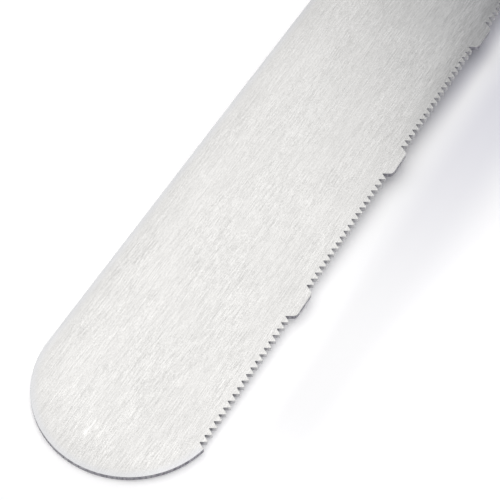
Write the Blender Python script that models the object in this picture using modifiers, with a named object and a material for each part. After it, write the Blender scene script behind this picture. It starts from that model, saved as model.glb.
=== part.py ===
"""A serrated cake knife: a long, round-ended steel blade that runs through the whole handle, two
wooden handle scales and three two-part rivets that hold them on.

Metres, +Z up. The knife lies flat, its round tip towards -X and its teeth towards -Y. The origin is
below the middle of the knife, level with the underside of the handle. Inside the outlines, x is
measured along the knife from the tip, and y from its middle line."""

import math

import bmesh
import bpy
from mathutils import Vector

# Blade
BLADE_LENGTH = 0.254  # tip to the front of the handle
BLADE_WIDTH = 0.0335  # plain edge to the line of the lands
BLADE_THICKNESS = 0.0010
SHOULDER_LENGTH = 0.014  # where the blade narrows in front of the handle
HEEL_LENGTH = 0.010  # least plain edge between the last teeth and the shoulder

# Serrated edge: groups of fine teeth with a flat land between them
TOOTH_PITCH = 0.0015
TEETH_PER_GROUP = 19
TOOTH_HEIGHT = 0.0010
TOOTH_TIP_FLAT = 0.00016
GULLET_FLAT = 0.00012
FIRST_GULLET = 0.0138  # from the tip
GULLET_DEPTH = 0.0016  # below the lands
LAND_SPAN = 0.0075  # last gullet of a group to the first of the next
LAND_CORNER = 0.0005  # where the rounding of a land's corner starts

# Handle, whose tang and scales share one outline
HANDLE_LENGTH = 0.125
FRONT_WIDTH = 0.0265
PALM_WIDTH = 0.0290
WAIST_WIDTH = 0.0255
BUTT_WIDTH = 0.0300
PALM_FROM_FRONT = 0.044
WAIST_FROM_BUTT = 0.040
FRONT_CORNER = 0.0055  # radius of the scales' front corners, seen from above
BUTT_CURVE = 0.0135  # how far the rounded butt reaches back
SCALE_THICKNESS = 0.0075
SCALE_ROUNDING = 0.0042  # of the edges round the outer faces
WIDEST_ROUNDING = 0.9  # of the scale's thickness or of its front corner

# Rivets: a pin with a head, pressed into a sleeve with a head
RIVET_NAMES = ("front", "middle", "rear")
FRONT_RIVET_INSET = 0.017  # from the front of the handle
REAR_RIVET_INSET = 0.021  # from the butt
HEAD_DIAMETER = 0.0080
HEAD_THICKNESS = 0.0014
HEAD_CHAMFER = 0.0002
HEAD_RECESS = 0.0001  # the wood stands this far above the heads
SLEEVE_DIAMETER = 0.0050
PIN_DIAMETER = 0.0030
PIN_SHORT_OF_FLOOR = 0.0010  # the pin stops this far above the floor of the bore
SLEEVE_FLOOR = 0.0010  # metal left below the sleeve's bore, counted from its head's outside

# Between pieces that touch
CLEARANCE = 0.0003

# How finely the round shapes are cut
TIP_STEPS = 60
CORNER_STEPS = 4
CURVE_STEPS = 12
ROUNDING_STEPS = 5
TURN_STEPS = 32
WELD_DISTANCE = 1e-6
TURN_WELD_DISTANCE = 1e-5
ON_MIDDLE_LINE = 3e-5  # a point this close to the middle line is on it
FLAT_ANGLE = math.radians(0.5)
SHARP_ANGLE = math.radians(30)

# Colours
STEEL_COLOUR = (0.56, 0.56, 0.55)
WOOD_COLOUR = (0.20, 0.075, 0.035)
BRASS_COLOUR = (0.78, 0.57, 0.28)

HALF_BLADE = BLADE_WIDTH / 2
GULLET_LINE = GULLET_DEPTH - HALF_BLADE
TOOTH_LINE = GULLET_LINE - TOOTH_HEIGHT
FLANK_SLOPE = (TOOTH_PITCH - TOOTH_TIP_FLAT - GULLET_FLAT) / 2 / TOOTH_HEIGHT
SHOULDER_START = BLADE_LENGTH - SHOULDER_LENGTH
OVERALL_LENGTH = BLADE_LENGTH + HANDLE_LENGTH
SCALE_INNER = BLADE_THICKNESS / 2 + CLEARANCE
SCALE_OUTER = SCALE_INNER + SCALE_THICKNESS
HEAD_OUTER = SCALE_OUTER - HEAD_RECESS
HEAD_INNER = HEAD_OUTER - HEAD_THICKNESS


def clear_scene():
    for old in list(bpy.data.objects):
        bpy.data.objects.remove(old, do_unlink=True)


def collection(name):
    made = bpy.data.collections.new(name)
    bpy.context.scene.collection.children.link(made)
    return made


def material(name, colour, roughness, metallic):
    made = bpy.data.materials.new(name)
    made.use_nodes = True
    shader = made.node_tree.nodes["Principled BSDF"]
    shader.inputs["Base Color"].default_value = (*colour, 1)
    shader.inputs["Roughness"].default_value = roughness
    shader.inputs["Metallic"].default_value = metallic
    return made


def fractions(steps):
    return [step / steps for step in range(steps + 1)]


def eased(start, end, fraction):
    """A value between two others that leaves the first and reaches the second with no slope."""
    return start + (end - start) * (1 - math.cos(math.pi * fraction)) / 2


def rounded(before, corner, after, reach):
    """Points that round a corner of an outline, starting and ending this far from it."""
    start = corner + (before - corner).normalized() * reach
    end = corner + (after - corner).normalized() * reach
    return [start.lerp(corner, t).lerp(corner.lerp(end, t), t) for t in fractions(CORNER_STEPS)]


def mirrored(side):
    """A whole outline from its +Y side, which runs from the middle line back to it."""
    other = [Vector((point.x, -point.y)) for point in reversed(side)]
    return side + [point for point in other if abs(point.y) > ON_MIDDLE_LINE]


# Outlines

def quarter_ellipse(centre, along, across, start):
    """A quarter turn, clockwise from an angle that is measured from +Y."""
    points = []
    for fraction in fractions(CURVE_STEPS):
        angle = start + math.pi / 2 * fraction
        points.append(centre + Vector((along * math.sin(angle), across * math.cos(angle))))
    return points


def handle_side():
    """The +Y side of the handle, from its front corner to the start of its butt curve."""
    stations = (
        (BLADE_LENGTH + FRONT_CORNER, FRONT_WIDTH),
        (BLADE_LENGTH + PALM_FROM_FRONT, PALM_WIDTH),
        (OVERALL_LENGTH - WAIST_FROM_BUTT, WAIST_WIDTH),
        (OVERALL_LENGTH - BUTT_CURVE, BUTT_WIDTH),
    )
    points = [Vector((stations[0][0], stations[0][1] / 2))]
    for (x, width), (next_x, next_width) in zip(stations, stations[1:]):
        for fraction in fractions(CURVE_STEPS)[1:]:
            along = x + (next_x - x) * fraction
            points.append(Vector((along, eased(width, next_width, fraction) / 2)))
    return points


def butt_side():
    """The +Y half of the rounded butt, up to the middle line."""
    centre = Vector((OVERALL_LENGTH - BUTT_CURVE, 0))
    return quarter_ellipse(centre, BUTT_CURVE, BUTT_WIDTH / 2, 0)[1:]


def scale_outline():
    centre = Vector((BLADE_LENGTH + FRONT_CORNER, FRONT_WIDTH / 2 - FRONT_CORNER))
    front = quarter_ellipse(centre, FRONT_CORNER, FRONT_CORNER, -math.pi / 2)[:-1]
    return mirrored(front + handle_side() + butt_side())


def shoulder_side():
    """The +Y side of the shoulder, where the blade narrows to the width of the handle's front."""
    points = []
    for fraction in fractions(CURVE_STEPS):
        along = SHOULDER_START + SHOULDER_LENGTH * fraction
        points.append(Vector((along, eased(BLADE_WIDTH, FRONT_WIDTH, fraction) / 2)))
    return points


def flank_start(gullet):
    """Where the first tooth flank leaves the border of the blade, which may be on its round tip."""
    level = gullet.x - FLANK_SLOPE * GULLET_DEPTH
    if level >= HALF_BLADE:
        return Vector((level, -HALF_BLADE))
    outward = Vector((-FLANK_SLOPE, -1)).normalized()
    from_middle = gullet - Vector((HALF_BLADE, 0))
    across = from_middle.dot(outward)
    reach = math.sqrt(across**2 + HALF_BLADE**2 - from_middle.length_squared) - across
    return gullet + outward * reach


def tip_curve(end):
    """The round tip, from the plain edge to a point on the serrated side."""
    last = math.atan2(-end.y, end.x - HALF_BLADE) if end.x < HALF_BLADE else math.pi / 2
    total = 2 * math.pi - math.pi / 2 - last
    points = []
    for fraction in fractions(TIP_STEPS):
        angle = math.pi / 2 + total * fraction
        points.append(
            Vector((HALF_BLADE + HALF_BLADE * math.cos(angle), HALF_BLADE * math.sin(angle)))
        )
    return points


def serrated_edge():
    """The gullets, teeth and lands, from the first gullet to the plain edge of the heel."""
    group_span = TEETH_PER_GROUP * TOOTH_PITCH + LAND_SPAN
    room = SHOULDER_START - HEEL_LENGTH - FIRST_GULLET + LAND_SPAN
    groups = int(room // group_span)
    flank = Vector((FLANK_SLOPE, -1)) * GULLET_DEPTH
    points = []
    for group in range(groups):
        for tooth in range(TEETH_PER_GROUP + 1):
            gullet = FIRST_GULLET + group * group_span + tooth * TOOTH_PITCH
            points.append(Vector((gullet - GULLET_FLAT / 2, GULLET_LINE)))
            points.append(Vector((gullet + GULLET_FLAT / 2, GULLET_LINE)))
            if tooth < TEETH_PER_GROUP:
                tip = gullet + TOOTH_PITCH / 2
                points.append(Vector((tip - TOOTH_TIP_FLAT / 2, TOOTH_LINE)))
                points.append(Vector((tip + TOOTH_TIP_FLAT / 2, TOOTH_LINE)))
        last = points[-1]
        rise = last + flank
        if group < groups - 1:
            next_gullet = last + Vector((LAND_SPAN - GULLET_FLAT, 0))
            fall = Vector((next_gullet.x - flank.x, rise.y))
            points += rounded(last, rise, fall, LAND_CORNER)
            points += rounded(rise, fall, next_gullet, LAND_CORNER)
        else:
            points += rounded(last, rise, Vector((SHOULDER_START, rise.y)), LAND_CORNER)
    return points


def blade_outline():
    teeth = serrated_edge()
    side = shoulder_side() + handle_side() + butt_side()
    handle = [Vector((point.x, -point.y)) for point in side]
    handle += [point for point in reversed(side) if point.y > ON_MIDDLE_LINE]
    return tip_curve(flank_start(teeth[0])) + teeth + handle


def circle(centre, radius):
    turn = [2 * math.pi * step / TURN_STEPS for step in range(TURN_STEPS)]
    return [centre + radius * Vector((math.cos(a), math.sin(a))) for a in turn]


# Solids

def solid(name, guide, surface, flat_caps=False):
    """A mesh piece from a curve or from an object with modifiers, which it takes the place of."""
    graph = bpy.context.evaluated_depsgraph_get()
    mesh = bpy.data.meshes.new_from_object(guide.evaluated_get(graph))
    bpy.data.objects.remove(guide, do_unlink=True)
    shape = bmesh.new()
    shape.from_mesh(mesh)
    bmesh.ops.remove_doubles(shape, verts=shape.verts, dist=WELD_DISTANCE)
    if flat_caps:
        bmesh.ops.dissolve_limit(
            shape, angle_limit=FLAT_ANGLE, verts=shape.verts, edges=shape.edges
        )
    shape.to_mesh(mesh)
    shape.free()
    mesh.name = name
    mesh.materials.clear()
    mesh.materials.append(surface)
    mesh.shade_smooth()
    mesh.set_sharp_from_angle(angle=SHARP_ANGLE)
    return bpy.data.objects.new(name, mesh)


def flat_guide(name, loops, thickness):
    """A flat curve between closed outlines, the first round it and the others round its holes."""
    data = bpy.data.curves.new(name, "CURVE")
    data.dimensions = "2D"
    data.fill_mode = "BOTH"
    data.extrude = thickness / 2
    for loop in loops:
        spline = data.splines.new("POLY")
        spline.points.add(len(loop) - 1)
        for point, place in zip(spline.points, loop):
            point.co = (place.x, place.y, 0, 1)
        spline.use_cyclic_u = True
    guide = bpy.data.objects.new(name, data)
    bpy.context.scene.collection.objects.link(guide)
    return guide


def turned_guide(name, profile):
    """A profile in (radius, height), turned about Z."""
    mesh = bpy.data.meshes.new(name)
    links = [(index, index + 1) for index in range(len(profile) - 1)]
    mesh.from_pydata([(radius, 0, height) for radius, height in profile], links, [])
    guide = bpy.data.objects.new(name, mesh)
    bpy.context.scene.collection.objects.link(guide)
    screw = guide.modifiers.new("turn", "SCREW")
    screw.steps = TURN_STEPS
    screw.render_steps = TURN_STEPS
    screw.use_merge_vertices = True
    screw.merge_threshold = TURN_WELD_DISTANCE
    return guide


def rivet_places():
    first = BLADE_LENGTH + FRONT_RIVET_INSET
    last = OVERALL_LENGTH - REAR_RIVET_INSET
    return [first + (last - first) * t for t in fractions(len(RIVET_NAMES) - 1)]


def make_blade(steel):
    holes = [
        circle(Vector((x, 0)), SLEEVE_DIAMETER / 2 + CLEARANCE) for x in rivet_places()
    ]
    guide = flat_guide("blade", [blade_outline(), *holes], BLADE_THICKNESS)
    return solid("blade", guide, steel)


def make_scale_mesh(wood):
    """One scale, its flat side down, with the edges of its outer face marked for rounding."""
    guide = flat_guide("handle_scale", [scale_outline()], SCALE_THICKNESS)
    scale = solid("handle_scale", guide, wood, flat_caps=True)
    shape = bmesh.new()
    shape.from_mesh(scale.data)
    weight = shape.edges.layers.float.new("bevel_weight_edge")
    for edge in shape.edges:
        if min(vertex.co.z for vertex in edge.verts) > 0:
            edge[weight] = 1
    shape.to_mesh(scale.data)
    shape.free()
    mesh = scale.data
    bpy.data.objects.remove(scale)
    return mesh


def make_rivet_cutter(name, x):
    """The stepped hole that a rivet sits in, through both scales."""
    beyond = SCALE_OUTER + HEAD_THICKNESS
    seat = HEAD_INNER - CLEARANCE
    wide = HEAD_DIAMETER / 2 + CLEARANCE
    narrow = SLEEVE_DIAMETER / 2 + CLEARANCE
    half = [(0, beyond), (wide, beyond), (wide, seat), (narrow, seat)]
    profile = half + [(radius, -height) for radius, height in reversed(half)]
    cutter = turned_guide(name, profile)
    cutter.location.x = x
    cutter.hide_render = True
    cutter.display_type = "WIRE"
    return cutter


def make_scale(name, mesh, side, cutters):
    """The scale above the tang, or turned over below it, with the rivet holes cut through."""
    scale = bpy.data.objects.new(name, mesh)
    scale.location.z = side * (SCALE_INNER + SCALE_THICKNESS / 2)
    scale.rotation_euler.x = 0 if side > 0 else math.pi
    soften = scale.modifiers.new("rounding", "BEVEL")
    soften.limit_method = "WEIGHT"
    soften.width = min(SCALE_ROUNDING, WIDEST_ROUNDING * min(SCALE_THICKNESS, FRONT_CORNER))
    soften.segments = ROUNDING_STEPS
    for cutter in cutters:
        hole = scale.modifiers.new(cutter.name, "BOOLEAN")
        hole.object = cutter
    even = scale.modifiers.new("even_shading", "WEIGHTED_NORMAL")
    even.keep_sharp = True
    return scale


def make_rivet_pin(name, x, metal):
    """The upper half of a rivet: a head with a plain pin."""
    head = HEAD_DIAMETER / 2
    pin = PIN_DIAMETER / 2
    end = SLEEVE_FLOOR - HEAD_OUTER + PIN_SHORT_OF_FLOOR
    profile = [
        (0, HEAD_OUTER),
        (head - HEAD_CHAMFER, HEAD_OUTER),
        (head, HEAD_OUTER - HEAD_CHAMFER),
        (head, HEAD_INNER),
        (pin, HEAD_INNER),
        (pin, end + HEAD_CHAMFER),
        (pin - HEAD_CHAMFER, end),
        (0, end),
    ]
    rivet = solid(name, turned_guide(name, profile), metal)
    rivet.location.x = x
    return rivet


def make_rivet_sleeve(name, x, metal):
    """The lower half of a rivet: a head with a tube that the pin goes into."""
    head = HEAD_DIAMETER / 2
    sleeve = SLEEVE_DIAMETER / 2
    bore = PIN_DIAMETER / 2 + CLEARANCE
    rim = HEAD_INNER - CLEARANCE
    profile = [
        (0, SLEEVE_FLOOR - HEAD_OUTER),
        (bore, SLEEVE_FLOOR - HEAD_OUTER),
        (bore, rim),
        (sleeve, rim),
        (sleeve, -HEAD_INNER),
        (head, -HEAD_INNER),
        (head, HEAD_CHAMFER - HEAD_OUTER),
        (head - HEAD_CHAMFER, -HEAD_OUTER),
        (0, -HEAD_OUTER),
    ]
    rivet = solid(name, turned_guide(name, profile), metal)
    rivet.location.x = x
    return rivet


def main():
    clear_scene()
    knife = collection("cake_knife")
    tools = collection("cutters")
    steel = material("blade_steel", STEEL_COLOUR, 0.22, 1.0)
    wood = material("handle_wood", WOOD_COLOUR, 0.42, 0.0)
    brass = material("rivet_brass", BRASS_COLOUR, 0.28, 1.0)

    base = bpy.data.objects.new("knife_base", None)
    base.location = (-OVERALL_LENGTH / 2, 0, SCALE_OUTER)
    knife.objects.link(base)

    cutters = []
    for name, x in zip(RIVET_NAMES, rivet_places()):
        cutters.append(make_rivet_cutter(name + "_rivet_hole", x))
    scale_mesh = make_scale_mesh(wood)
    pieces = [
        make_blade(steel),
        make_scale("upper_handle_scale", scale_mesh, 1, cutters),
        make_scale("lower_handle_scale", scale_mesh, -1, cutters),
    ]
    for name, x in zip(RIVET_NAMES, rivet_places()):
        pieces.append(make_rivet_pin(name + "_rivet_pin", x, brass))
        pieces.append(make_rivet_sleeve(name + "_rivet_sleeve", x, brass))

    for piece in pieces:
        knife.objects.link(piece)
        piece.parent = base
    for cutter in cutters:
        bpy.context.scene.collection.objects.unlink(cutter)
        tools.objects.link(cutter)
        cutter.parent = base


main()
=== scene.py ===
"""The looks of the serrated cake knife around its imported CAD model: a blade with softened rims and a
brushed finish, oiled wooden scales that meet the tang, brass rivets, a pale table and soft light.

Metres, +Z up, in the frame of the CAD: the round tip towards -X, the teeth towards -Y."""

import math
from collections import namedtuple

import bmesh
import bpy
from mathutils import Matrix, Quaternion, Vector


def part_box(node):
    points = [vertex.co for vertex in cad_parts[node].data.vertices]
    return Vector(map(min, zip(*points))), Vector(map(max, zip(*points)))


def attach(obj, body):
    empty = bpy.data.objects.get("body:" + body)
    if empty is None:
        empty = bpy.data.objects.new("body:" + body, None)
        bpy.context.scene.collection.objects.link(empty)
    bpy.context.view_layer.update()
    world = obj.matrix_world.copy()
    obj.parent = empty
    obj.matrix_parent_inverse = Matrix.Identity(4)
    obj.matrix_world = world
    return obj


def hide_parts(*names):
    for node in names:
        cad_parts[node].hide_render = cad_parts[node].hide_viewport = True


MM = 0.001

# Layers of the finishes. Noise has features of these lengths along X, Y and Z. Rows are straight
# scratches along X, with marks of this length and width. The shift keeps layers from being alike.
Noise = namedtuple("Noise", "lengths shift detail roughness", defaults=(0.0, 2.0, 0.5))
Rows = namedtuple("Rows", "length width shift", defaults=(0.0,))
ROW_STEP = 7.31  # from row to row in their noise, so that neighbours differ
ROW_DETAIL = 1.0
ALL_NOISE = (0.25, 0.75)  # where nearly all values of a noise lie
MOST_NOISE = (0.3, 0.7)

# Meshes
WELD = 0.001 * MM
FLAT = math.radians(0.05)  # faces that meet at less than this are one
SHARP = math.radians(30)  # edges that turn more than this look sharp
STEEP = 0.5  # a wall's normal has a smaller share along Z than this, and a face's a larger one

# Blade
RIM_ROUNDING = 0.04 * MM  # of every edge of the blade's outline
RIM_STEPS = 2
TOOTH_HEIGHT = 1.0 * MM
TOOTH_INSET = 0.6 * MM  # of the tips of the teeth from the line of the lands
FIRST_GULLET = 13.8 * MM  # from the tip
TEETH_SPAN = 28.5 * MM  # first gullet of a group to its last
GROUP_SPAN = 36 * MM  # first gullet of a group to the first of the next

# Brushing: the marks of each layer, and how far each layer changes the tone
GRAIN = Rows(2.2 * MM, 0.13 * MM)
GRAIN_TONE = 0.14
SPECKS = Rows(0.22 * MM, 0.10 * MM, shift=3.1)
SPECK_TONE = 0.17
LINES = Rows(8 * MM, 0.14 * MM, shift=7.3)
LINE_TONE = 0.08
CLOUDS = Noise((8 * MM, 4 * MM, 5 * MM), shift=5.7, detail=3.0)
CLOUD_TONE = 0.030
PATCHES = Noise((12 * MM, 6 * MM, 5 * MM), shift=8.9)
PATCH_RANGE = (0.38, 0.62)
PATCH_STRENGTH = (0.8, 1.2)  # of the grain and the specks, from patch to patch
BRUSHED_ROUGHNESS = (0.17, 0.25)
BRUSHED_STRETCH = 0.4  # how much wider the gloss spreads across the brushing than along it
BRUSHED_DEPTH = 0.01 * MM
BRUSHED_BUMP = 0.3

# Where the brushing differs, and where shade and a cool reflection are painted into the steel's colour.
# The rims are the plain edge and the round tip.
SHADED_RIM = 6 * MM  # painted shade: the colour grows darker this far inside the plain edge and its half of the tip
SHADED_RIM_TONE = 0.90
SHADED_TEETH = 4.5 * MM  # and this far inside the gullets, more and more over a stretch of the blade
SHADED_TEETH_TONE = 0.84
SHADED_TEETH_ALONG = (75 * MM, 112 * MM)  # that stretch, from the tip
SMOOTH_RIM = 2.5 * MM  # the scratches grow fainter this far inside both rims
SMOOTH_RIM_GRAIN = 0.3
REFLECTION_RIM = 1.5 * MM  # painted reflection: the colour grows cooler this far inside both rims
TIP_TURN = 4.0  # how soon the toothed side counts as a part of the tip
# A small spot near the tip is brighter, in short scratches.
BRIGHT_SPOT_FROM_TIP = Vector((6.8, 1.5, 0)) * MM
BRIGHT_SPOT_SIZE = Vector((2.5, 1.2, 1.0)) * MM
BRIGHT_SPOT_FADE = (0.4, 1.0)  # as a share of that size
BRIGHT_SPOT_LINES = Rows(4 * MM, 0.3 * MM, shift=2.6)
BRIGHT_SPOT_RANGE = (0.4, 0.6)
BRIGHT_SPOT_TONE = (0.0, 0.18)

STEEL_COLOUR = (0.533, 0.530, 0.528)
# the steel's colour with a painted cool reflection at its rims
RIM_REFLECTION_COLOUR = (0.527, 0.532, 0.551)

# The sheared walls round the blade, with painted light on the teeth and painted glints in places on the
# lands
WALL_TURN = (0.25, 0.75)  # how square to the flat the surface faces, from the walls to the faces
SHEARED_COLOURS = ((0.18, 0.175, 0.20), (0.38, 0.375, 0.40))
SHEARED_ROUGHNESS = 0.5
# painted light: the lighter colours of the walls on the teeth and of the glints
LIT_WALL_COLOURS = ((0.40, 0.40, 0.41), (0.75, 0.75, 0.74))
WALL_MARKS = Noise((0.35 * MM, 0.35 * MM, 1.5 * MM), shift=1.7)
# painted highlights: glints on the outermost walls of the lands
GLINTS = Noise((1.1 * MM, 0.5 * MM, 0.35 * MM), shift=4.4)
GLINT_RANGE = (0.54, 0.62)
GLINT_DEPTH = 0.3 * MM  # inside the line of the lands

# Handle: how close the wood comes to the metal
SCALE_SEAT = 0.02 * MM
HEAD_SEAT = 0.04 * MM
WIDEST_SEAT = 0.6 * MM
TOUCH = 0.01 * MM  # a corner nearer than this to the scale's inner face lies on it

# Wood: its layers, where in each its marks start and are full, and how strong they are
FIGURE = Noise((70 * MM, 3.0 * MM, 4.5 * MM), shift=2.0, detail=3.0, roughness=0.55)
FIGURE_RANGE = (0.36, 0.64)
FIBRES = Noise((9 * MM, 0.35 * MM, 0.6 * MM), shift=4.0, detail=3.0, roughness=0.6)
FIBRE_RANGE = (0.35, 0.7)
FIBRE_SHARE = 0.5
VEINS = Noise((42 * MM, 1.1 * MM, 1.7 * MM), shift=11.0)
VEIN_RANGE = (0.56, 0.68)
VEIN_SHARE = 0.8
PORES = Noise((2.6 * MM, 0.16 * MM, 0.3 * MM), shift=9.0, detail=1.0)
PORE_RANGE = (0.60, 0.70)
PORE_SHARE = 0.8
ROUNDED_START = (0.05, 0.45)  # how square to the flat the wood faces where it is rounded and rubbed
ROUNDED_END = (0.97, 0.75)
RUBBED_SHARE = (0.1, 0.45)
WOOD_COLOURS = ((0.085, 0.024, 0.013), (0.215, 0.074, 0.034))
FIBRE_COLOUR = (0.28, 0.105, 0.046)
VEIN_COLOUR = (0.030, 0.011, 0.008)
PORE_COLOUR = (0.020, 0.008, 0.005)
RUBBED_WOOD_COLOUR = (0.34, 0.15, 0.075)
WOOD_ROUGHNESS = (0.34, 0.48)
PORE_ROUGHNESS = 0.2  # more than that in a pore
RUBBED_ROUGHNESS = 0.2  # less than that where it is rubbed
FIBRE_HEIGHT = 0.4  # as a share of a pore's depth
PORE_DEPTH = 0.05 * MM
WOOD_BUMP = 0.5

# Brass
BRASS_MARKS = Noise((1.5 * MM, 0.07 * MM, 0.5 * MM), shift=1.0, roughness=0.6)
BRASS_COLOURS = ((0.70, 0.49, 0.22), (0.84, 0.62, 0.32))
STAIN = Noise((2.2 * MM, 1.8 * MM, 2 * MM), shift=6.0, detail=3.0)
TARNISH_RANGE = (0.5, 0.75)
TARNISH_SHARE = 0.5
TARNISH_COLOUR = (0.42, 0.27, 0.12)
ROUGH_RANGE = (0.35, 0.7)
BRASS_ROUGHNESS = (0.22, 0.4)
BRASS_DEPTH = 0.01 * MM
BRASS_BUMP = 0.3

# Camera, measured from the tip of the blade on its upper face
EYE_FROM_TIP = Vector((-98.85, -79.36, 245.84)) * MM
AIM_FROM_TIP = Vector((50.96, -2.99, 0)) * MM
CAMERA_ROLL = math.radians(3.853)
LENS = 121.6  # mm, as is the sensor
SENSOR = 36
NEAREST = 0.01  # metres, as is the farthest that it sees
FARTHEST = 50

# Table
TABLE_GAP = 0.15 * MM  # below the two places that the knife stands on
HANDLE_REST = 0.56  # from its front to the start of its flat underside, of a scale's thickness
TABLE_RINGS = (0.25, 0.8, 2.5, 8.0)
TABLE_SEGMENTS = 48
TABLE_COLOUR = (0.97, 0.97, 0.97)

# The soft shade painted into the table's colour on the toothed side of the knife has a wide part and one
# close to the teeth. Each rises and fades again with the distance from the tip and with that from the line
# of the lands.
SHADE_COLOUR = (0.713, 0.713, 0.757)
SHADE_END = (240 * MM, 330 * MM)
WIDE_ALONG = (38 * MM, 118 * MM)
WIDE_RISE = (-0.5 * MM, 8 * MM)
WIDE_FADE = (11 * MM, 23 * MM)
CLOSE_ALONG = (87 * MM, 114 * MM)
CLOSE_RISE = (-8 * MM, 0 * MM)
CLOSE_FADE = (-0.5 * MM, 3 * MM)

# The light of the table's own, which is seen and lights nothing. It rises and fades again with the
# distance from the tip. It is left out in the band of the wide shade, which starts at the tip, and
# beside the plain edge it never falls below one value.
BAND_START = (0 * MM, 30 * MM)
LIFT_AT_TIP = 0.05
MOST_LIFT = 0.19
LEAST_LIFT = 0.02
LIFT_RISE = (0 * MM, 14 * MM)
LIFT_FADE = (40 * MM, 96 * MM)
LIFT_BEHIND = 0.12

# Light: a long soft box overhead, which ends towards the far end of the knife. The ranges are those
# in which its brightness rises or falls, as the direction's share along and across it.
BOX_END = Vector((0.883, -0.469, 0))
BOX_SIDE = Vector((0.469, 0.883, 0))
BOX_START = (-0.90, -0.70)
BOX_FADE = (0.40, 0.55)
BOX_NEAR_SIDE = (-0.60, -0.40)
BOX_FAR_SIDE = (0.62, 0.82)
STRIP_START = (0.40, 0.44)
STRIP_FADE = (0.62, 0.78)
STRIP_FOOT = (0.15, 0.40)  # as the direction's height
BOX_COLOUR = (1.65, 1.64, 1.612)
ROOM_COLOUR = (0.49, 0.485, 0.54)
STRIP_COLOUR = (0.08, 0.10, 0.14)
WHITE = (1.0, 1.0, 1.0)

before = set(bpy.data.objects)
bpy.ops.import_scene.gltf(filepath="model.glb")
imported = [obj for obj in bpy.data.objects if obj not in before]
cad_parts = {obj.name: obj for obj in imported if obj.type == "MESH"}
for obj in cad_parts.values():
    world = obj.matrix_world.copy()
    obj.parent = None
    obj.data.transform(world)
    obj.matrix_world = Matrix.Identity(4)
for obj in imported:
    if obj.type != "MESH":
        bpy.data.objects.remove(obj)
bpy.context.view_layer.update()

BLADE_LOW, BLADE_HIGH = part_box("blade")
SCALE_LOW, SCALE_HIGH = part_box("lower_handle_scale")
TIP_TOP = Vector((BLADE_LOW.x, 0, BLADE_HIGH.z))
HALF_BLADE = (BLADE_HIGH.y - BLADE_LOW.y) / 2
TOOTH_LINE = TOOTH_INSET - HALF_BLADE
GULLET_LINE = TOOTH_LINE + TOOTH_HEIGHT
HANDLE_FRONT = SCALE_LOW.x


# Node trees

def node(tree, kind, inputs=None, **settings):
    """A new node with its settings, and its inputs set or linked by name or number."""
    made = tree.nodes.new("ShaderNode" + kind)
    for name, value in settings.items():
        setattr(made, name, value)
    for name, value in (inputs or {}).items():
        if isinstance(value, bpy.types.NodeSocket):
            tree.links.new(value, made.inputs[name])
        else:
            made.inputs[name].default_value = value
    return made


def calc(tree, operation, first, second=0.0):
    """The result of a Math node."""
    return node(tree, "Math", {0: first, 1: second}, operation=operation).outputs["Value"]


def product(tree, result, *others):
    """All the values multiplied, in this order."""
    for other in others:
        result = calc(tree, "MULTIPLY", result, other)
    return result


def total(tree, result, *others):
    """All the values added up, in this order."""
    for other in others:
        result = calc(tree, "ADD", result, other)
    return result


def remap(tree, value, low, high, new_low=0.0, new_high=1.0, smooth=True):
    """A value carried from one range to another, and held at its ends."""
    kind = "SMOOTHSTEP" if smooth else "LINEAR"
    inputs = {"Value": value, "From Min": low, "From Max": high, "To Min": new_low, "To Max": new_high}
    return node(tree, "MapRange", inputs, interpolation_type=kind).outputs["Result"]


def fade(tree, value, low, high):
    """1 below this range of the value, falling to 0 over it."""
    return remap(tree, value, low, high, 1.0, 0.0)


def between(tree, value, rising, fading):
    """A share of 1 that rises over one range of the value and fades again over another."""
    return product(tree, remap(tree, value, *rising), fade(tree, value, *fading))


def vector_number(tree, operation, first, second=(0, 0, 0)):
    """The number that a Vector Math node gives for one vector or two."""
    return node(tree, "VectorMath", {0: first, 1: second}, operation=operation).outputs["Value"]


def blend_colour(tree, amount, first, second):
    """A colour between two others: the first at amount 0, the second at 1."""
    made = node(tree, "Mix", {"Factor": amount}, data_type="RGBA")
    for name, colour in (("A", first), ("B", second)):
        socket = [s for s in made.inputs if s.name == name and s.type == "RGBA"][0]
        if isinstance(colour, bpy.types.NodeSocket):
            tree.links.new(colour, socket)
        else:
            socket.default_value = (*colour, 1)
    return [s for s in made.outputs if s.type == "RGBA"][0]


def object_place(tree):
    """The X, Y and Z of a point on its object, in metres."""
    return node(tree, "SeparateXYZ", {0: node(tree, "TexCoord").outputs["Object"]}).outputs


def noise(tree, layer):
    """The noise of a layer."""
    mapping = {
        "Vector": node(tree, "TexCoord").outputs["Object"],
        "Location": (layer.shift, layer.shift, layer.shift),
        "Scale": [1 / length for length in layer.lengths],
    }
    point = node(tree, "Mapping", mapping).outputs["Vector"]
    look = {"Vector": point, "Scale": 1.0, "Detail": layer.detail, "Roughness": layer.roughness}
    return node(tree, "TexNoise", look).outputs["Fac"]


def scratches(tree, layer):
    """The noise of a layer in straight rows along X."""
    place = object_place(tree)
    row = calc(tree, "FLOOR", calc(tree, "DIVIDE", place["Y"], layer.width))
    along = total(tree, calc(tree, "DIVIDE", place["X"], layer.length), layer.shift)
    point = node(tree, "CombineXYZ", {"X": along, "Y": product(tree, row, ROW_STEP)})
    look = {"Vector": point.outputs["Vector"], "Scale": 1.0, "Detail": ROW_DETAIL}
    return node(tree, "TexNoise", look).outputs["Fac"]


def seen_directly(tree):
    """1 for what the camera, a reflection or a view through glass shows, and 0 for light."""
    path = node(tree, "LightPath").outputs
    seen = calc(tree, "MAXIMUM", path["Is Camera Ray"], path["Is Glossy Ray"])
    return calc(tree, "MAXIMUM", seen, path["Is Transmission Ray"])


def squareness(tree):
    """How square to the flat of the knife the surface faces, from 0 on its walls to 1 on its faces."""
    facing = node(tree, "SeparateXYZ", {0: node(tree, "TexCoord").outputs["Normal"]}).outputs
    return calc(tree, "ABSOLUTE", facing["Z"])


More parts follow.
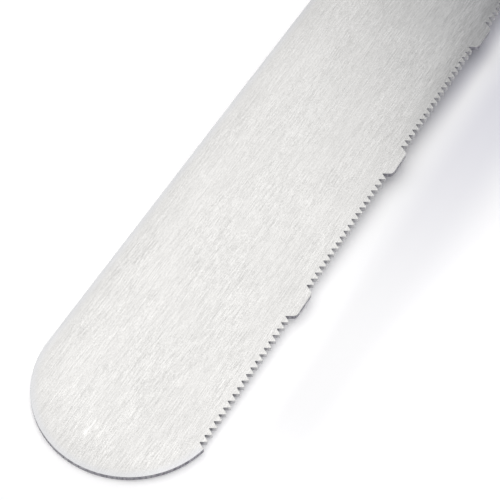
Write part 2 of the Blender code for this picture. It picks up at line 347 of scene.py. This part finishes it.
def material(name):
    """A new material, its node tree and its shader."""
    made = bpy.data.materials.new(name)
    made.use_nodes = True
    return made, made.node_tree, made.node_tree.nodes["Principled BSDF"]


def add_bump(tree, shader, height, strength, depth):
    bump = node(tree, "Bump", {"Strength": strength, "Distance": depth, "Height": height})
    tree.links.new(bump.outputs["Normal"], shader.inputs["Normal"])


# Steel

def inside_rim(tree, whole_tip):
    """How far a point of the blade lies inside the plain edge and the round tip, in metres: the whole
    tip, or the half of it on the side of the plain edge."""
    place = object_place(tree)
    before = calc(tree, "MINIMUM", calc(tree, "SUBTRACT", place["X"], TIP_TOP.x + HALF_BLADE), 0.0)
    across = calc(tree, "MAXIMUM", place["Y"], 0.0)
    if whole_tip:
        toothed = product(tree, place["Y"], -1.0)
        towards_tip = product(tree, before, -TIP_TURN)
        across = calc(tree, "MAXIMUM", across, calc(tree, "MINIMUM", toothed, towards_tip))
    reach = node(tree, "CombineXYZ", {"X": before, "Y": across}).outputs["Vector"]
    return calc(tree, "SUBTRACT", HALF_BLADE, vector_number(tree, "LENGTH", reach))


def bright_spot(tree):
    """1 in a small brighter spot near the tip, fading to 0 round it."""
    place = node(tree, "TexCoord").outputs["Object"]
    away = node(tree, "VectorMath", {0: place, 1: TIP_TOP + BRIGHT_SPOT_FROM_TIP}, operation="SUBTRACT")
    scaled = node(tree, "VectorMath", {0: away.outputs["Vector"], 1: BRIGHT_SPOT_SIZE}, operation="DIVIDE")
    return fade(tree, vector_number(tree, "LENGTH", scaled.outputs["Vector"]), *BRIGHT_SPOT_FADE)


def painted_shade_tone(tree):
    """The painted shade on the face: a tone that grows darker towards the plain edge and the far teeth."""
    place = object_place(tree)
    from_tip = calc(tree, "SUBTRACT", place["X"], TIP_TOP.x)
    # painted shade inside the gullets over the far stretch of the blade, and inside the plain edge
    near_teeth = remap(tree, place["Y"], GULLET_LINE + SHADED_TEETH, GULLET_LINE)
    dull_and_shaded = product(tree, near_teeth, remap(tree, from_tip, *SHADED_TEETH_ALONG))
    teeth = remap(tree, dull_and_shaded, 0.0, 1.0, 1.0, SHADED_TEETH_TONE, smooth=False)
    rim = remap(tree, inside_rim(tree, False), 0.0, SHADED_RIM, SHADED_RIM_TONE, 1.0, smooth=False)
    return product(tree, rim, teeth)


def tone_change(tree, value, most):
    """A noise as a change of tone, darker or lighter by this much at most."""
    return remap(tree, value, *ALL_NOISE, -most, most, smooth=False)


def brushed_tone(tree, grain, lines):
    """How bright the brushed face is from place to place, as a share of the steel's colour."""
    specks = scratches(tree, SPECKS)
    fine = total(tree, tone_change(tree, grain, GRAIN_TONE), tone_change(tree, specks, SPECK_TONE))
    fine = product(tree, fine, remap(tree, noise(tree, PATCHES), *PATCH_RANGE, *PATCH_STRENGTH))
    fine = total(tree, fine, tone_change(tree, lines, LINE_TONE))
    fine = product(tree, fine, remap(tree, inside_rim(tree, True), 0.0, SMOOTH_RIM, SMOOTH_RIM_GRAIN, 1.0))

    clouds = tone_change(tree, noise(tree, CLOUDS), CLOUD_TONE)
    brighter = remap(tree, scratches(tree, BRIGHT_SPOT_LINES), *BRIGHT_SPOT_RANGE, *BRIGHT_SPOT_TONE)
    tone = total(tree, fine, 1.0, clouds, product(tree, bright_spot(tree), brighter))
    return product(tree, tone, painted_shade_tone(tree))


def on_lands(tree, along):
    """1 on the lands between the groups of teeth, and 0 beside the teeth."""
    from_gullet = calc(tree, "SUBTRACT", along, TIP_TOP.x + FIRST_GULLET)
    in_group = calc(tree, "FLOORED_MODULO", from_gullet, GROUP_SPAN)
    return calc(tree, "GREATER_THAN", in_group, TEETH_SPAN)


def wall_colour(tree):
    """The colour of the blade's sheared walls, with painted light on the teeth and painted glints on the
    lands.
    """
    marks = noise(tree, WALL_MARKS)
    dull_and_shaded = blend_colour(tree, remap(tree, marks, *MOST_NOISE), *SHEARED_COLOURS)
    brighter = blend_colour(tree, marks, *LIT_WALL_COLOURS)
    place = object_place(tree)
    across = place["Y"]
    land = on_lands(tree, place["X"])

    # painted shade and light: the walls of the teeth are darker deep in the gullets and lighter towards
    # the tips
    outwards = remap(tree, across, GULLET_LINE, TOOTH_LINE, smooth=False)
    inwards = remap(tree, across, -HALF_BLADE, TOOTH_LINE, smooth=False)
    teeth = product(tree, outwards, inwards, calc(tree, "SUBTRACT", 1.0, land))
    outermost = remap(tree, across, -HALF_BLADE + GLINT_DEPTH, -HALF_BLADE)
    glints = product(tree, remap(tree, noise(tree, GLINTS), *GLINT_RANGE), outermost, land)
    return blend_colour(tree, total(tree, teeth, glints), dull_and_shaded, brighter)


def steel_material():
    """Stainless steel brushed along the blade, with dull sheared walls round it."""
    made, tree, shader = material("brushed_steel")
    links = tree.links
    grain = scratches(tree, GRAIN)
    lines = scratches(tree, LINES)

    # painted reflection: a cooler colour near the rims
    plain = blend_colour(tree, fade(tree, inside_rim(tree, True), 0.0, REFLECTION_RIM), STEEL_COLOUR, RIM_REFLECTION_COLOUR)
    tone = brushed_tone(tree, grain, lines)
    face = node(tree, "VectorMath", {0: plain, "Scale": tone}, operation="SCALE")
    wall = fade(tree, squareness(tree), *WALL_TURN)
    colour = blend_colour(tree, wall, face.outputs["Vector"], wall_colour(tree))
    links.new(colour, shader.inputs["Base Color"])

    worn = remap(tree, grain, *ALL_NOISE, *BRUSHED_ROUGHNESS, smooth=False)
    rough = node(tree, "Mix", {0: wall, 2: worn, 3: SHEARED_ROUGHNESS}, data_type="FLOAT")
    links.new(rough.outputs[0], shader.inputs["Roughness"])

    add_bump(tree, shader, total(tree, grain, lines), BRUSHED_BUMP, BRUSHED_DEPTH)
    across = node(tree, "Tangent", direction_type="UV_MAP", uv_map="brushing")
    links.new(across.outputs["Tangent"], shader.inputs["Tangent"])
    shader.inputs["Anisotropic"].default_value = BRUSHED_STRETCH
    shader.inputs["Metallic"].default_value = 1.0
    return made


# Wood and brass

def wood_material():
    """Dark reddish wood with its grain along the handle, oiled, and rubbed lighter where it is rounded."""
    made, tree, shader = material("oiled_wood")
    links = tree.links
    figure = noise(tree, FIGURE)
    veins = noise(tree, VEINS)
    fibres = noise(tree, FIBRES)
    pores = remap(tree, noise(tree, PORES), *PORE_RANGE)
    facing = squareness(tree)
    rounded = product(tree, remap(tree, facing, *ROUNDED_START), remap(tree, facing, *ROUNDED_END))
    brighter = product(tree, rounded, remap(tree, fibres, *MOST_NOISE, *RUBBED_SHARE))

    colour = blend_colour(tree, remap(tree, figure, *FIGURE_RANGE), *WOOD_COLOURS)
    colour = blend_colour(tree, remap(tree, fibres, *FIBRE_RANGE, 0.0, FIBRE_SHARE), colour, FIBRE_COLOUR)
    colour = blend_colour(tree, remap(tree, veins, *VEIN_RANGE, 0.0, VEIN_SHARE), colour, VEIN_COLOUR)
    colour = blend_colour(tree, brighter, colour, RUBBED_WOOD_COLOUR)
    colour = blend_colour(tree, product(tree, pores, PORE_SHARE), colour, PORE_COLOUR)
    links.new(colour, shader.inputs["Base Color"])

    rough = remap(tree, fibres, *MOST_NOISE, *WOOD_ROUGHNESS)
    rough = total(tree, rough, product(tree, pores, PORE_ROUGHNESS))
    rough = calc(tree, "SUBTRACT", rough, product(tree, brighter, RUBBED_ROUGHNESS))
    links.new(rough, shader.inputs["Roughness"])

    height = calc(tree, "SUBTRACT", product(tree, fibres, FIBRE_HEIGHT), pores)
    add_bump(tree, shader, height, WOOD_BUMP, PORE_DEPTH)
    return made


def brass_material():
    """Yellow brass, ground flat with the wood and a little tarnished."""
    made, tree, shader = material("ground_brass")
    links = tree.links
    marks = noise(tree, BRASS_MARKS)
    stain = noise(tree, STAIN)
    colour = blend_colour(tree, remap(tree, marks, *MOST_NOISE), *BRASS_COLOURS)
    tarnish = remap(tree, stain, *TARNISH_RANGE, 0.0, TARNISH_SHARE)
    colour = blend_colour(tree, tarnish, colour, TARNISH_COLOUR)
    links.new(colour, shader.inputs["Base Color"])
    links.new(remap(tree, stain, *ROUGH_RANGE, *BRASS_ROUGHNESS), shader.inputs["Roughness"])
    add_bump(tree, shader, marks, BRASS_BUMP, BRASS_DEPTH)
    shader.inputs["Metallic"].default_value = 1.0
    return made


# Pieces

def plain_mesh(source, name):
    """A welded copy of a CAD mesh without its stored normals: a new mesh and its open shape."""
    points = [vertex.co.copy() for vertex in source.data.vertices]
    faces = [list(face.vertices) for face in source.data.polygons]
    mesh = bpy.data.meshes.new(name)
    mesh.from_pydata(points, [], faces)
    shape = bmesh.new()
    shape.from_mesh(mesh)
    bmesh.ops.remove_doubles(shape, verts=shape.verts, dist=WELD)
    bmesh.ops.dissolve_limit(shape, angle_limit=FLAT, verts=shape.verts, edges=shape.edges)
    return mesh, shape


def close_shape(shape, mesh):
    """Puts a finished shape into its mesh, shaded smooth apart from its sharp edges."""
    shape.to_mesh(mesh)
    shape.free()
    mesh.shade_smooth()
    mesh.set_sharp_from_angle(angle=SHARP)


def piece(name, mesh, finish, stands_for):
    """An object of the visual model that takes the place of a CAD node."""
    mesh.materials.append(finish)
    made = bpy.data.objects.new(name, mesh)
    bpy.context.scene.collection.objects.link(made)
    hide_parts(stands_for)
    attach(made, "root")
    return made


def is_rim(edge):
    """Whether an edge of the blade lies between one of its faces and a wall."""
    shares = sorted(abs(face.normal.z) for face in edge.link_faces)
    return shares[0] < STEEP < shares[-1]


def make_blade(steel):
    """The blade with the edges of its outline softened, above and below."""
    mesh, shape = plain_mesh(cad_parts["blade"], "brushed_blade")
    weight = shape.edges.layers.float.new("bevel_weight_edge")
    for edge in shape.edges:
        if is_rim(edge):
            edge[weight] = 1
    close_shape(shape, mesh)

    brushing = mesh.uv_layers.new(name="brushing")
    for corner, place in zip(mesh.loops, brushing.uv):
        point = mesh.vertices[corner.vertex_index].co
        place.vector = (point.y / HALF_BLADE, point.x / HALF_BLADE)

    blade = piece("brushed_blade", mesh, steel, "blade")
    soften = blade.modifiers.new("rims", "BEVEL")
    soften.limit_method = "WEIGHT"
    soften.width = RIM_ROUNDING
    soften.segments = RIM_STEPS
    soften.use_clamp_overlap = False
    soften.harden_normals = True


def make_scale(name, wood, rivets):
    """A handle scale that meets the tang and closes round the heads of its rivets."""
    mesh, shape = plain_mesh(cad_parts[name], "oiled_" + name)
    low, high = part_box(name)
    upper = low.z > BLADE_LOW.z
    inner = low.z if upper else high.z
    seat = BLADE_HIGH.z + SCALE_SEAT if upper else BLADE_LOW.z - SCALE_SEAT
    for vertex in shape.verts:
        if abs(vertex.co.z - inner) < TOUCH:
            vertex.co.z = seat
        for centre, head in rivets:
            away = vertex.co - centre
            away.z = 0
            if head < away.length < head + WIDEST_SEAT:
                vertex.co += away.normalized() * (head + HEAD_SEAT - away.length)
    close_shape(shape, mesh)
    scale = piece("oiled_" + name, mesh, wood, name)
    even = scale.modifiers.new("even_shading", "WEIGHTED_NORMAL")
    even.keep_sharp = True


def rivet_heads():
    """The middle and the radius of each rivet's head, seen from above."""
    heads = []
    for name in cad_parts:
        if name.endswith("rivet_pin"):
            low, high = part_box(name)
            heads.append(((low + high) / 2, (high.x - low.x) / 2))
    return heads


# Table

def table_shade(tree, along, beyond):
    """The band of the wide painted shade, and how much of the whole painted soft shade lies on a point of
    the table.
    """
    band = product(
        tree,
        between(tree, beyond, WIDE_RISE, WIDE_FADE),
        between(tree, along, BAND_START, SHADE_END),
    )
    wide = product(tree, band, remap(tree, along, *WIDE_ALONG))
    close = product(
        tree,
        between(tree, beyond, CLOSE_RISE, CLOSE_FADE),
        between(tree, along, CLOSE_ALONG, SHADE_END),
    )
    return band, calc(tree, "MINIMUM", total(tree, wide, close), 1.0)


def table_lift(tree, along, across, band):
    """How much light of its own the table shows."""
    rising = remap(tree, along, *LIFT_RISE, LIFT_AT_TIP, MOST_LIFT)
    fading = remap(tree, along, *LIFT_FADE, MOST_LIFT, LEAST_LIFT)
    outside = calc(tree, "SUBTRACT", 1.0, band)
    beside = product(tree, calc(tree, "MINIMUM", rising, fading), outside)
    behind = remap(tree, across, 0.0, HALF_BLADE, 0.0, LIFT_BEHIND)
    return product(tree, calc(tree, "MAXIMUM", beside, behind), seen_directly(tree))


def table_material():
    """A pale table that shows white where neither a shadow nor the soft shade painted into its colour lies
    on it.
    """
    made, tree, shader = material("pale_table")
    tree.nodes.remove(shader)
    from_tip = object_place(tree)
    beyond = calc(tree, "SUBTRACT", -HALF_BLADE, from_tip["Y"])
    band, shade = table_shade(tree, from_tip["X"], beyond)
    matt = node(tree, "BsdfDiffuse", {"Color": blend_colour(tree, shade, TABLE_COLOUR, SHADE_COLOUR)})
    white = node(tree, "Emission", {"Strength": table_lift(tree, from_tip["X"], from_tip["Y"], band)})
    lifted = node(tree, "AddShader", {0: matt.outputs[0], 1: white.outputs[0]})
    tree.links.new(lifted.outputs[0], tree.nodes["Material Output"].inputs["Surface"])
    return made


def disc_mesh(name, radii, segments):
    """A flat disc, with a ring of corners at each radius."""
    shape = bmesh.new()
    rings = []
    for radius in radii:
        ring = []
        for step in range(segments):
            turn = 2 * math.pi * step / segments
            ring.append(shape.verts.new((radius * math.cos(turn), radius * math.sin(turn), 0)))
        rings.append(ring)
    shape.faces.new(rings[0])
    for inner, outer in zip(rings, rings[1:]):
        for step in range(segments):
            after = (step + 1) % segments
            shape.faces.new((inner[step], outer[step], outer[after], inner[after]))
    mesh = bpy.data.meshes.new(name)
    shape.to_mesh(mesh)
    shape.free()
    return mesh


def make_table():
    """A wide disc under the two places that the knife stands on: its tip, at the middle of the disc,
    and its handle."""
    tip = Vector((BLADE_LOW.x, 0, BLADE_LOW.z))
    handle = Vector((HANDLE_FRONT + (SCALE_HIGH.z - SCALE_LOW.z) * HANDLE_REST, 0, SCALE_LOW.z))
    mesh = disc_mesh("table", TABLE_RINGS, TABLE_SEGMENTS)
    mesh.materials.append(table_material())
    table = bpy.data.objects.new("table", mesh)
    table.rotation_euler.y = math.atan2(tip.z - handle.z, handle.x - tip.x)
    table.location = tip - Vector((0, 0, TABLE_GAP))
    bpy.context.scene.collection.objects.link(table)


# Light and camera

def make_light():
    """A long soft box overhead, a dim strip beside it and a room that is white where it is seen."""
    world = bpy.data.worlds.new("studio")
    bpy.context.scene.world = world
    world.use_nodes = True
    tree = world.node_tree
    tree.nodes.clear()
    towards = node(tree, "TexCoord").outputs["Generated"]
    along = vector_number(tree, "DOT_PRODUCT", towards, BOX_END)
    across = vector_number(tree, "DOT_PRODUCT", towards, BOX_SIDE)
    height = node(tree, "SeparateXYZ", {0: towards}).outputs["Z"]

    box = product(
        tree,
        between(tree, along, BOX_START, BOX_FADE),
        remap(tree, across, *BOX_NEAR_SIDE),
        fade(tree, across, *BOX_FAR_SIDE),
    )
    strip = product(tree, between(tree, along, STRIP_START, STRIP_FADE), remap(tree, height, *STRIP_FOOT))

    colour = blend_colour(tree, seen_directly(tree), ROOM_COLOUR, WHITE)
    colour = blend_colour(tree, strip, colour, STRIP_COLOUR)
    colour = blend_colour(tree, box, colour, BOX_COLOUR)
    background = node(tree, "Background", {"Color": colour, "Strength": 1.0})
    output = node(tree, "OutputWorld")
    tree.links.new(background.outputs[0], output.inputs["Surface"])


def make_camera():
    """The camera at the photo's place, turned about its own axis as the photo is."""
    data = bpy.data.cameras.new("camera")
    data.sensor_width = SENSOR
    data.lens = LENS
    data.clip_start = NEAREST
    data.clip_end = FARTHEST
    camera = bpy.data.objects.new("camera", data)
    camera.location = TIP_TOP + EYE_FROM_TIP
    camera.rotation_mode = "QUATERNION"
    forward = (AIM_FROM_TIP - EYE_FROM_TIP).normalized()
    camera.rotation_quaternion = forward.to_track_quat("-Z", "Y") @ Quaternion((0, 0, 1), CAMERA_ROLL)
    bpy.context.scene.collection.objects.link(camera)
    bpy.context.scene.camera = camera


def main():
    make_camera()
    steel = steel_material()
    wood = wood_material()
    brass = brass_material()
    make_blade(steel)
    rivets = rivet_heads()
    for name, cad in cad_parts.items():
        if "scale" in name:
            make_scale(name, wood, rivets)
        elif "rivet" in name:
            cad.material_slots[0].material = brass
    make_table()
    make_light()
    bpy.context.scene.view_settings.view_transform = "Standard"


main()
